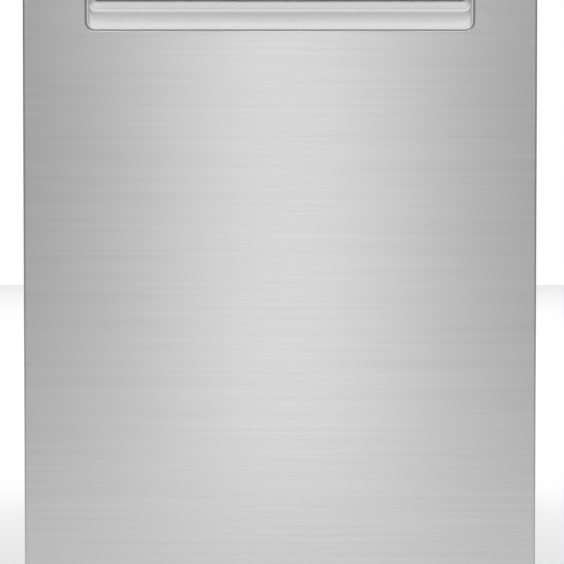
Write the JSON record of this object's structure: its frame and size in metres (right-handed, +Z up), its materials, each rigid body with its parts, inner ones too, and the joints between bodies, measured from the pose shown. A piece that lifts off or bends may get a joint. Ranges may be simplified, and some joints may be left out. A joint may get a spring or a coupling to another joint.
{
  "type": "built in dishwasher",
  "caption": "Built-in dishwasher with a brushed steel door, a pocket handle with a latch paddle, top controls, and sliding wire racks over turning spray arms.",
  "frame": {"origin": "on the floor, at the centre of the machine's outline", "axes": "-Y is the front of the door, +X its right side seen from the front, +Z up"},
  "size_m": [0.606, 0.622, 0.86],
  "materials": {
    "brushed_steel": "horizontal brushing, satin",
    "tub_steel": "smooth bright sheet",
    "zinc_steel": "zinc plated",
    "dark_steel": "black coat, satin",
    "silver_plastic": "silver paint, satin",
    "black_plastic": "fine texture",
    "grey_plastic": "moulded polypropylene",
    "white_plastic": "moulded polypropylene",
    "rack_coat": "nylon coated wire",
    "rubber": "matt",
    "felt": "needled fibre"
  },
  "bodies": {
    "cabinet": {"tub": "tub_steel", "tub_gasket": "rubber", "base_frame": "dark_steel", "insulation_blanket": "felt", "toe_kick": "dark_steel", "hinge_bracket_left": "zinc_steel", "hinge_bracket_right": "zinc_steel", "sump": "grey_plastic", "circulation_pump": "grey_plastic", "drain_pump": "black_plastic", "inlet_valve": "white_plastic", "junction_box": "zinc_steel", "fine_filter": "tub_steel", "spray_feed_tube": "grey_plastic", "outer_rail_left": "tub_steel", "outer_rail_right": "tub_steel", "strike_plate": "zinc_steel", "counter_bracket_left": "zinc_steel", "counter_bracket_right": "zinc_steel", "door_spring_left": "zinc_steel", "door_spring_right": "zinc_steel"},
    "door": {"door_skin": "brushed_steel", "pocket_handle": "silver_plastic", "inner_door": "tub_steel", "control_console": "black_plastic", "dispenser_body": "grey_plastic", "hinge_arm_left": "zinc_steel", "hinge_arm_right": "zinc_steel"},
    "latch_paddle": {"latch_paddle": "silver_plastic"},
    "latch_hook": {"latch_hook": "zinc_steel"},
    "dispenser_lid": {"dispenser_lid": "grey_plastic"},
    "rinse_aid_cap": {"rinse_aid_cap": "grey_plastic"},
    "power_button": {"power_button": "silver_plastic"},
    "cycle_button": {"cycle_button": "silver_plastic"},
    "options_button": {"options_button": "silver_plastic"},
    "delay_button": {"delay_button": "silver_plastic"},
    "start_button": {"start_button": "silver_plastic"},
    "spring_links": {"spring_link_left": "zinc_steel", "spring_link_right": "zinc_steel"},
    "middle_rails": {"middle_rail_left": "zinc_steel", "middle_rail_right": "zinc_steel"},
    "upper_rack": {"upper_rack": "rack_coat", "upper_arm_feed": "grey_plastic"},
    "upper_spray_arm": {"upper_spray_arm": "grey_plastic"},
    "cup_shelf": {"cup_shelf": "rack_coat"},
    "lower_rack": {"lower_rack": "rack_coat", "silverware_basket": "grey_plastic"},
    "fold_down_tines": {"fold_down_tines": "rack_coat"},
    "wheel_front_left": {"wheel_front_left": "grey_plastic"},
    "wheel_front_right": {"wheel_front_right": "grey_plastic"},
    "wheel_rear_left": {"wheel_rear_left": "grey_plastic"},
    "wheel_rear_right": {"wheel_rear_right": "grey_plastic"},
    "lower_spray_arm": {"lower_spray_arm": "grey_plastic"},
    "top_spray_arm": {"top_spray_arm": "grey_plastic"},
    "coarse_filter": {"coarse_filter": "grey_plastic"},
    "float": {"float": "white_plastic"},
    "foot_front_left": {"foot_front_left": "black_plastic"},
    "foot_front_right": {"foot_front_right": "black_plastic"},
    "foot_rear_left": {"foot_rear_left": "black_plastic"},
    "foot_rear_right": {"foot_rear_right": "black_plastic"}
  },
  "joints": [
    {"name": "door_hinge", "type": "hinge", "parent": "cabinet", "child": "door", "pos_m": [0, -0.268, 0.13], "axis": [1, 0, 0], "range_deg": [0, 90], "stiffness_Nm_per_rad": 14, "springref_deg": -20.05},
    {"name": "latch_paddle_pivot", "type": "hinge", "parent": "door", "child": "latch_paddle", "pos_m": [0, -0.285, 0.8195], "axis": [1, 0, 0], "range_deg": [-14, 0], "stiffness_Nm_per_rad": 0.06, "springref_deg": 17.19},
    {"name": "latch_hook_pivot", "type": "hinge", "parent": "door", "child": "latch_hook", "pos_m": [0, -0.284, 0.849], "axis": [1, 0, 0], "range_deg": [0, 8], "stiffness_Nm_per_rad": 0.01, "springref_deg": 30.37},
    {"name": "dispenser_lid_slide", "type": "slide", "parent": "door", "child": "dispenser_lid", "axis": [0, 0, 1], "range_m": [0, 0.055]},
    {"name": "rinse_aid_cap_turn", "type": "hinge", "parent": "door", "child": "rinse_aid_cap", "pos_m": [0.048, -0.251, 0.57], "axis": [0, 1, 0], "range_deg": [0, 90]},
    {"name": "power_button_press", "type": "slide", "parent": "door", "child": "power_button", "axis": [0, 0, -1], "range_m": [0, 0.0012], "stiffness_N_per_m": 300, "springref_m": -0.003},
    {"name": "cycle_button_press", "type": "slide", "parent": "door", "child": "cycle_button", "axis": [0, 0, -1], "range_m": [0, 0.0012], "stiffness_N_per_m": 300, "springref_m": -0.003},
    {"name": "options_button_press", "type": "slide", "parent": "door", "child": "options_button", "axis": [0, 0, -1], "range_m": [0, 0.0012], "stiffness_N_per_m": 300, "springref_m": -0.003},
    {"name": "delay_button_press", "type": "slide", "parent": "door", "child": "delay_button", "axis": [0, 0, -1], "range_m": [0, 0.0012], "stiffness_N_per_m": 300, "springref_m": -0.003},
    {"name": "start_button_press", "type": "slide", "parent": "door", "child": "start_button", "axis": [0, 0, -1], "range_m": [0, 0.0012], "stiffness_N_per_m": 300, "springref_m": -0.003},
    {"name": "spring_pull", "type": "slide", "parent": "cabinet", "child": "spring_links", "axis": [0, -1, 0], "range_m": [0, 0.05], "deforming": ["door_spring_left", "door_spring_right"]},
    {"name": "middle_rail_slide", "type": "slide", "parent": "cabinet", "child": "middle_rails", "axis": [0, -1, 0], "range_m": [0, 0.225]},
    {"name": "upper_rack_slide", "type": "slide", "parent": "cabinet", "child": "upper_rack", "axis": [0, -1, 0], "range_m": [0, 0.45]},
    {"name": "lower_rack_slide", "type": "slide", "parent": "cabinet", "child": "lower_rack", "axis": [0, -1, 0], "range_m": [0, 0.3]},
    {"name": "wheel_front_left_roll", "type": "hinge", "parent": "lower_rack", "child": "wheel_front_left", "pos_m": [-0.235, -0.07, 0.1854], "axis": [1, 0, 0], "continuous": true},
    {"name": "wheel_front_right_roll", "type": "hinge", "parent": "lower_rack", "child": "wheel_front_right", "pos_m": [0.235, -0.07, 0.1854], "axis": [1, 0, 0], "continuous": true},
    {"name": "wheel_rear_left_roll", "type": "hinge", "parent": "lower_rack", "child": "wheel_rear_left", "pos_m": [-0.235, 0.19, 0.1854], "axis": [1, 0, 0], "continuous": true},
    {"name": "wheel_rear_right_roll", "type": "hinge", "parent": "lower_rack", "child": "wheel_rear_right", "pos_m": [0.235, 0.19, 0.1854], "axis": [1, 0, 0], "continuous": true},
    {"name": "upper_spray_arm_spin", "type": "hinge", "parent": "upper_rack", "child": "upper_spray_arm", "pos_m": [0, 0.02, 0.468], "axis": [0, 0, 1], "continuous": true},
    {"name": "cup_shelf_fold", "type": "hinge", "parent": "upper_rack", "child": "cup_shelf", "pos_m": [-0.255, 0, 0.572], "axis": [0, -1, 0], "range_deg": [0, 85]},
    {"name": "plate_tines_fold", "type": "hinge", "parent": "lower_rack", "child": "fold_down_tines", "pos_m": [-0.06, 0, 0.2104], "axis": [0, -1, 0], "range_deg": [0, 70]},
    {"name": "lower_spray_arm_spin", "type": "hinge", "parent": "cabinet", "child": "lower_spray_arm", "pos_m": [0, 0.02, 0.186], "axis": [0, 0, 1], "continuous": true},
    {"name": "top_spray_arm_spin", "type": "hinge", "parent": "cabinet", "child": "top_spray_arm", "pos_m": [0, 0.02, 0.792], "axis": [0, 0, 1], "continuous": true},
    {"name": "coarse_filter_twist", "type": "hinge", "parent": "cabinet", "child": "coarse_filter", "pos_m": [0, -0.034, 0.1], "axis": [0, 0, 1], "range_deg": [0, 90]},
    {"name": "float_rise", "type": "slide", "parent": "cabinet", "child": "float", "axis": [0, 0, 1], "range_m": [0, 0.012]},
    {"name": "foot_front_left_turn", "type": "hinge", "parent": "cabinet", "child": "foot_front_left", "pos_m": [-0.288, -0.221, 0], "axis": [0, 0, 1], "continuous": true},
    {"name": "foot_front_right_turn", "type": "hinge", "parent": "cabinet", "child": "foot_front_right", "pos_m": [0.288, -0.221, 0], "axis": [0, 0, 1], "continuous": true},
    {"name": "foot_rear_left_turn", "type": "hinge", "parent": "cabinet", "child": "foot_rear_left", "pos_m": [-0.288, 0.294, 0], "axis": [0, 0, 1], "continuous": true},
    {"name": "foot_rear_right_turn", "type": "hinge", "parent": "cabinet", "child": "foot_rear_right", "pos_m": [0.288, 0.294, 0], "axis": [0, 0, 1], "continuous": true}
  ],
  "couplings": [
    {"joint": "latch_hook_pivot", "follows": "latch_paddle_pivot", "ratio": -0.57143},
    {"joint": "spring_pull", "follows": "door_hinge", "m_per_rad": 0.031831},
    {"joint": "middle_rail_slide", "follows": "door_hinge", "m_per_rad": 0.14324},
    {"joint": "upper_rack_slide", "follows": "door_hinge", "m_per_rad": 0.28648},
    {"joint": "lower_rack_slide", "follows": "door_hinge", "m_per_rad": 0.19099},
    {"joint": "wheel_front_left_roll", "follows": "door_hinge", "ratio": 11.234},
    {"joint": "wheel_front_right_roll", "follows": "door_hinge", "ratio": 11.234},
    {"joint": "wheel_rear_left_roll", "follows": "door_hinge", "ratio": 11.234},
    {"joint": "wheel_rear_right_roll", "follows": "door_hinge", "ratio": 11.234}
  ]
}
